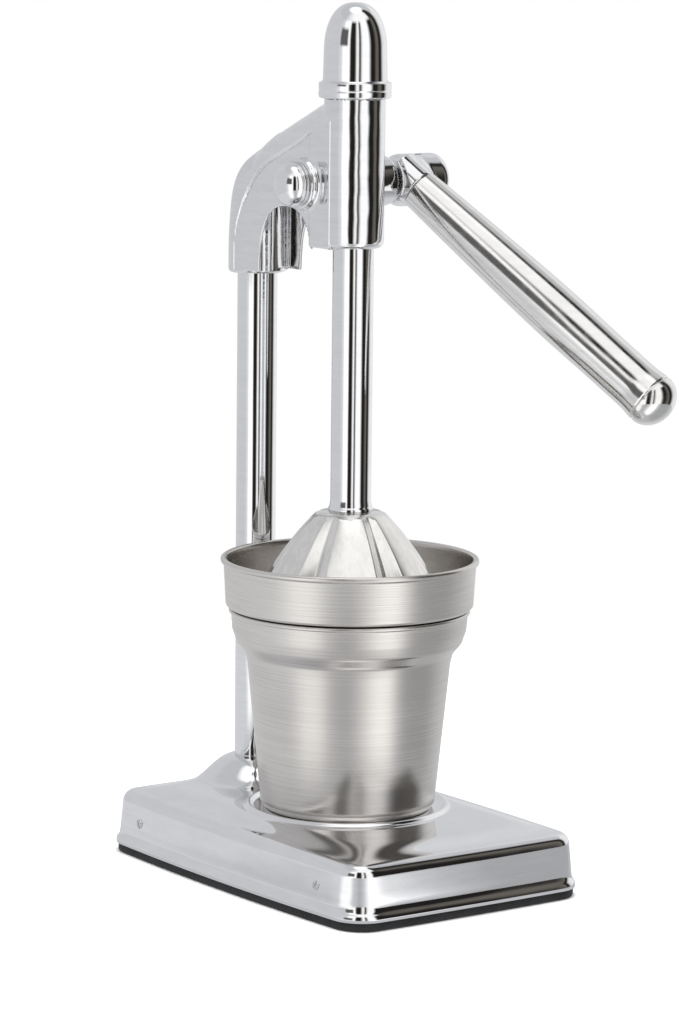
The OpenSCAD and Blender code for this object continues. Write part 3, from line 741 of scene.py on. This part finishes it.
def handle_radius(t):
    """Radius of the tube at share t of its length: it swells quickly, then flares a little at its end."""
    swell = 2.75 * math.sin(math.pi / 2 * min(1, t * 1.25))
    return HANDLE_ROOT_R + swell - 0.55 * ease(t - 0.55, 0.3) + 0.62 * ease(t - 0.93, 0.07) ** 2


grip_end = HANDLE_L - 0.1
tube = [(handle_radius(t), HANDLE_L * t) for t in np.linspace(0, 1, 70)[1:-1]]
tube = [(0, 0), (8.2, 0), (HANDLE_ROOT_R, 0.4)] + tube
tube += [(HANDLE_END_R, HANDLE_L - 0.5), (11.1, grip_end), (0, grip_end)]
piece("handle_grip", *moved(lathe(tube), ON_HANDLE), ["handle_tube", "handle_spigot"])
end = [(0, grip_end), (10.6, grip_end), (10.7, HANDLE_L + 0.5), (11.2, HANDLE_L + 0.6)] + [
    (HANDLE_END_R * math.cos(a), HANDLE_L + 0.9 + 9.8 * math.sin(a))
    for a in np.radians(np.linspace(0, 90, 24))]
end[-1] = (0, end[-1][1])
piece("handle_dome", *moved(lathe(end), ON_HANDLE), ["handle_end_cap"])


# Bell, cup and strainer -------------------------------------------------------------------

BELL_TOP, BELL_LOW = high("press_bell")[2], low("press_bell")[2]
PETALS, FIRST_GROOVE = 6, 25.0
BELL_NECK_R, BELL_FLARE, GROOVE_DEPTH, BELL_WALL = 14, 28, 5.6, 2.5


def bell_ring(t, thick, count=432):
    """The bell's outline at share t of its height from the top, drawn in by its wall."""
    a = np.linspace(0, 360, count, endpoint=False)
    width = 360 / PETALS
    d = abs((a - FIRST_GROOVE + width / 2) % width - width / 2)
    valley = np.maximum(0, 1 - np.sqrt((d / 11.0) ** 2 + 0.004))
    facing = (1 + np.cos(np.radians((a - FIRST_GROOVE) * PETALS))) / 2
    r = (BELL_NECK_R + BELL_FLARE * (1.5 * t - 0.5 * t * t)) * (1 - 0.03 * ease(t, 0.5) * (1 - facing))
    r = r - thick - GROOVE_DEPTH * math.sqrt(t) * valley ** 0.9
    z = BELL_TOP - (BELL_TOP - BELL_LOW) * t - thick * (1 - t)
    a = np.radians(a)
    return np.column_stack([r * np.cos(a), r * np.sin(a), np.full(count, z)])


levels = np.linspace(0, 1, 30) ** 1.15
outer = [bell_ring(t, 0) for t in levels]
inner = [bell_ring(t, BELL_WALL) for t in levels[::-1]]
top_ring = outer[0] * np.array((0.93, 0.93, 1))
outer[0][:, 2] -= 0.6
piece("fluted_bell", *moved(loft([top_ring] + outer + inner), on_plunger()), ["press_bell"], sharp=35)

CUP_LOW, CUP_TOP = low("juice_cup")[2], high("juice_cup")[2]
cup = rounded([(0, CUP_LOW + 0.6), (29, CUP_LOW + 0.6, 1), (31, CUP_LOW, 0.8), (35, CUP_LOW, 1.6),
               (36.6, CUP_LOW + 2.6, 1.0), (42.5, CUP_TOP - 23, 6), (43.6, CUP_TOP - 18.3, 5),
               (47.3, CUP_TOP - 13.9, 5), (49.1, CUP_TOP - 8.5, 6), (49.4, CUP_TOP - 1.9, 0.4),
               (50.4, CUP_TOP - 1.6, 0.5), (50.5, CUP_TOP - 0.2, 0.7), (48.3, CUP_TOP - 0.05, 0.3),
               (48.1, CUP_TOP - 2.5, 0.5), (47.8, CUP_TOP - 8.3, 6), (46.1, CUP_TOP - 13.1, 5),
               (42.4, CUP_TOP - 17.5, 5), (41.2, CUP_TOP - 22.8, 6), (35.2, CUP_LOW + 3.2, 2.5),
               (33, CUP_LOW + 1.8, 1.5), (0, CUP_LOW + 1.8)], 6)
piece("steel_cup", *moved(lathe(cup, 200), on_plunger()), ["juice_cup"])

FLOOR, RIM = low("strainer_bowl")[2], high("strainer_bowl")[2]
bowl = rounded([(0, FLOOR), (44.5, FLOOR, 1), (46.9, FLOOR + 2.4, 2), (47.4, CUP_TOP + 0.1, 0.4),
                (49.3, CUP_TOP + 0.1, 0.3), (50.9, CUP_TOP + 0.75, 0.4), (51.75, CUP_TOP + 1.7, 0.7),
                (52.7, RIM - 2.8, 0.6), (53.9, RIM - 2.1, 0.8), (54, RIM - 0.6, 0.9), (53.1, RIM, 0.8),
                (51.6, RIM - 0.4, 0.7),
                (51.4, RIM - 2.4, 0.5), (50.45, CUP_TOP + 1.5, 0.6), (46.3, CUP_TOP + 1.4, 0.6),
                (45.7, FLOOR + 2.8, 1.5), (44, FLOOR + 1.2, 1), (0, FLOOR + 1.2)], 5)
strainer = piece("strainer_pan", *moved(lathe(bowl, 200), on_plunger()), ["strainer_bowl"])
HOLE_RINGS, HOLES_PER_RING, HOLE_R = 3, 24, 1.4
hole = lathe([(0, FLOOR - 2), (HOLE_R, FLOOR - 2), (HOLE_R, FLOOR + 3), (0, FLOOR + 3)], 14)
holes = []
for ring in range(HOLE_RINGS):
    for k in range(HOLES_PER_RING):
        a = 2 * math.pi * (k + ring / 2) / HOLES_PER_RING
        r = 31 + 4.6 * ring
        holes.append(moved(hole, Matrix.Translation((r * math.cos(a), PLUNGER_Y + r * math.sin(a), 0))))
carve(strainer, holes)


CONE_R, CONE_H, CONE_RIBS = 27, 26.9, 8


def cone_ring(t, count=256):
    """The cone's outline at share t of its height: eight ribs round a swelling side."""
    a = np.linspace(0, 2 * math.pi, count, endpoint=False)
    r = CONE_R * (1 - t ** 1.7) + 1.6
    r = r * (1 - 0.11 * ((1 + np.cos(CONE_RIBS * a)) / 2) ** 1.6)
    return np.column_stack([r * np.cos(a), r * np.sin(a), np.full(count, FLOOR + 1.3 + CONE_H * t)])


rings = [cone_ring(t) for t in np.linspace(0, 1, 24)]
piece("ribbed_cone", *moved(loft(rings), on_plunger()), ["reamer_cone"], sharp=45)


# Room, light and camera -------------------------------------------------------------------

scene = bpy.context.scene
scene.view_settings.view_transform = "Standard"
scene.view_settings.look = "None"

CAMERA_AZIMUTH, CAMERA_ROLL = -35.9, 0.6
CAMERA_AWAY, CAMERA_HEIGHT, CAMERA_LENS = 1.70, 0.414, 145.9
AIM_HEIGHT, AIM_LEFT = 0.1552, 0.00458
TABLE_R = 0.6
# Brightness of the studio round the press, by angle from the camera's side: grey wall, white card,
# a black flag, white card, a dark brown screen and a white card. The second list is overhead.
STUDIO = [(-180, 0.68), (-66, 0.68), (-58, 0.78), (-51, 0.86), (-45, 1.3), (-23, 1.3), (-17, 0.03),
          (-3, 0.01), (1, 0.25), (5, 1.1), (11, 1.1), (14, 0.15), (19, 0.15), (23, 0.9), (28, 1.25),
          (49, 1.25), (55, 0.5), (60, 0.015), (74, 0.02), (80, 0.12), (88, 0.17), (96, 0.02),
          (105, 0.02), (112, 0.5), (120, 0.95), (145, 1.0), (165, 0.8), (180, 0.68)]
OVERHEAD = [(-180, 0.62), (-60, 0.62), (-30, 1.0), (-8, 1.2), (60, 1.2), (76, 0.9), (80, 0.03), (106, 0.03),
            (112, 0.45), (125, 0.66), (180, 0.62)]
# The same bands, softer, painted on the table as a glow that only the metal sees: a painted reflection of the
# studio that the pale table carries to the cup
PAINTED_TABLE_BANDS = [(-180, 0.75), (-70, 0.75), (-58, 0.9), (-48, 1.25), (-30, 1.25), (-20, 0.7), (-3, 0.52), (8, 0.66),
         (20, 1.1), (30, 1.5), (45, 1.5), (54, 0.7), (64, 0.46), (96, 0.46), (112, 0.62), (130, 0.75),
         (180, 0.75)]
# A grey flag over the camera's left, which the handle mirrors as its dark streak
FLAG = [(-180, 0), (-62, 0), (-55, 1), (-31, 1), (-25, 0), (180, 0)]


def studio_ramp(n, share, listed):
    """Colours by angle, cool in the light parts and warm in the dark ones."""
    ramp = n.add("ShaderNodeValToRGB", {"Fac": share})
    stops = ramp.color_ramp.elements
    for i, (angle, bright) in enumerate(listed):
        place = (angle + 180) / 360
        stop = stops[i] if i < 2 else stops.new(place)
        stop.position = place
        blue = 1.0 if bright > 0.9 else 1.04 if bright > 0.4 else 0.82
        stop.color = (bright, bright * (0.6 + 0.4 * blue), bright * blue, 1)
    return ramp.outputs["Color"]


def studio_share(n, x, y):
    """Angle round the press from the camera's side, as a share of a turn, with the camera at a half."""
    turn = n.add("ShaderNodeMath", {0: y, 1: x}, operation="ARCTAN2").outputs[0]
    shift = (180 - (CAMERA_AZIMUTH - 90)) / 360
    share = n.add("ShaderNodeMath", {0: turn, 1: 1 / (2 * math.pi), 2: shift}, operation="MULTIPLY_ADD")
    return n.add("ShaderNodeMath", {0: share.outputs[0]}, operation="FRACT").outputs[0]


def blend_color(n, factor, a, b):
    """Mixes two colours, each a socket or a plain colour."""
    node = n.add("ShaderNodeMix", data_type="RGBA")
    n.tree.links.new(factor, node.inputs["Factor"])
    for socket, source in ((node.inputs[6], a), (node.inputs[7], b)):
        if isinstance(source, bpy.types.NodeSocket):
            n.tree.links.new(source, socket)
        else:
            socket.default_value = source
    return node.outputs[2]


def studio_world():
    """What the metal mirrors: bands by angle, a flag and overhead cards. The camera itself sees white."""
    world = bpy.data.worlds.new("studio")
    scene.world = world
    world.use_nodes = True
    tree = world.node_tree
    tree.nodes.clear()
    n = Nodes(tree)
    way = n.add("ShaderNodeTexCoord").outputs["Generated"]
    axes = n.add("ShaderNodeSeparateXYZ", {"Vector": way}).outputs
    share = studio_share(n, axes["X"], axes["Y"])
    sides = studio_ramp(n, share, STUDIO)
    flag = studio_ramp(n, share, FLAG)
    above = n.remap(axes["Z"], 0, 1, 0.02, 0.08)
    below = n.remap(axes["Z"], 1, 0, 0.42, 0.52)
    held = n.add("ShaderNodeMath", {0: above, 1: below}, operation="MULTIPLY").outputs[0]
    held = n.add("ShaderNodeMath", {0: held, 1: flag}, operation="MULTIPLY").outputs[0]
    room = blend_color(n, held, sides, (0.13, 0.13, 0.13, 1))
    room = blend_color(n, n.remap(axes["Z"], 0, 1, 0.64, 0.74), room, studio_ramp(n, share, OVERHEAD))
    room = blend_color(n, n.remap(axes["Z"], 0, 1, 0.93, 0.975), room, (1.5, 1.5, 1.5, 1))
    lit = n.add("ShaderNodeBackground", {"Color": room, "Strength": 1.0})
    plain = n.add("ShaderNodeBackground", {"Color": (1, 1, 1, 1), "Strength": 1.0})
    seen = n.add("ShaderNodeLightPath").outputs["Is Camera Ray"]
    mixed = n.add("ShaderNodeMixShader", {0: seen, 1: lit.outputs[0], 2: plain.outputs[0]})
    n.add("ShaderNodeOutputWorld", {"Surface": mixed.outputs[0]})


studio_world()


def floor():
    """A pale table, lit for the camera. In the metal it glows instead: painted shade, light grey, near the
    press, and a painted reflection of the studio's bands beyond.
    """
    disc = bpy.data.meshes.new("table_top")
    ring = [(TABLE_R * math.cos(a), TABLE_R * math.sin(a), 0) for a in np.linspace(0, 2 * math.pi, 97)[:-1]]
    disc.from_pydata(ring, [], [list(range(96))])
    obj = bpy.data.objects.new("table_top", disc)
    scene.collection.objects.link(obj)
    mat, shader, n = material("table_white", 0.0)
    tone = n.noise(3, 2)
    set_surface(shader, n, n.mix(tone, (0.9, 0.9, 0.9), (0.93, 0.93, 0.93)), n.remap(tone, 0.8, 0.9),
                n.bump(n.noise(400), 0.00002))
    at = n.add("ShaderNodeTexCoord").outputs["Object"]
    axes = n.add("ShaderNodeSeparateXYZ", {"Vector": at}).outputs
    bands = studio_ramp(n, studio_share(n, axes["X"], axes["Y"]), PAINTED_TABLE_BANDS)
    radius = n.add("ShaderNodeVectorMath", {0: at}, operation="LENGTH").outputs["Value"]
    # Painted shade and painted reflection: a light grey glow near the press, then the studio's bands further
    # out
    color = blend_color(n, n.remap(radius, 0, 1, 0.12, 0.18), (0.6, 0.61, 0.63, 1), bands)
    grey = n.add("ShaderNodeEmission", {"Color": color, "Strength": 1.0})
    seen = n.add("ShaderNodeLightPath").outputs["Is Camera Ray"]
    # Other rays see this painted glow instead of the lit table, though the table is no lamp
    both = n.add("ShaderNodeMixShader", {0: seen, 1: grey.outputs[0], 2: shader.outputs[0]})
    n.tree.links.new(both.outputs[0], n.tree.nodes["Material Output"].inputs["Surface"])
    disc.materials.append(mat)


floor()


def softbox(name, at, aim, size, power):
    """A soft lamp that the metal doesn't mirror."""
    light = bpy.data.lights.new(name, "AREA")
    light.shape, light.size, light.size_y, light.energy = "RECTANGLE", size[0], size[1], power
    obj = bpy.data.objects.new(name, light)
    scene.collection.objects.link(obj)
    obj.location = at
    obj.rotation_euler = (Vector(aim) - Vector(at)).to_track_quat("-Z", "Y").to_euler()
    obj.visible_glossy = False


softbox("over", (0, 0, 1.6), (0, 0, 0), (1.6, 1.6), 34)

camera = bpy.data.objects.new("camera", bpy.data.cameras.new("camera"))
scene.collection.objects.link(camera)
scene.camera = camera
camera.data.lens, camera.data.sensor_width = CAMERA_LENS, 36
turn = math.radians(CAMERA_AZIMUTH)
away, right = Vector((math.sin(turn), -math.cos(turn), 0)), Vector((math.cos(turn), math.sin(turn), 0))
axis = Vector((0, PLUNGER_Y * MM, 0))
camera.location = axis + away * CAMERA_AWAY + Vector((0, 0, CAMERA_HEIGHT))
aim = axis - right * AIM_LEFT + Vector((0, 0, AIM_HEIGHT))
look = (aim - camera.location).to_track_quat("-Z", "Y").to_matrix()
camera.rotation_euler = (look @ Matrix.Rotation(math.radians(CAMERA_ROLL), 3, "Z")).to_euler()

bpy.context.view_layer.update()
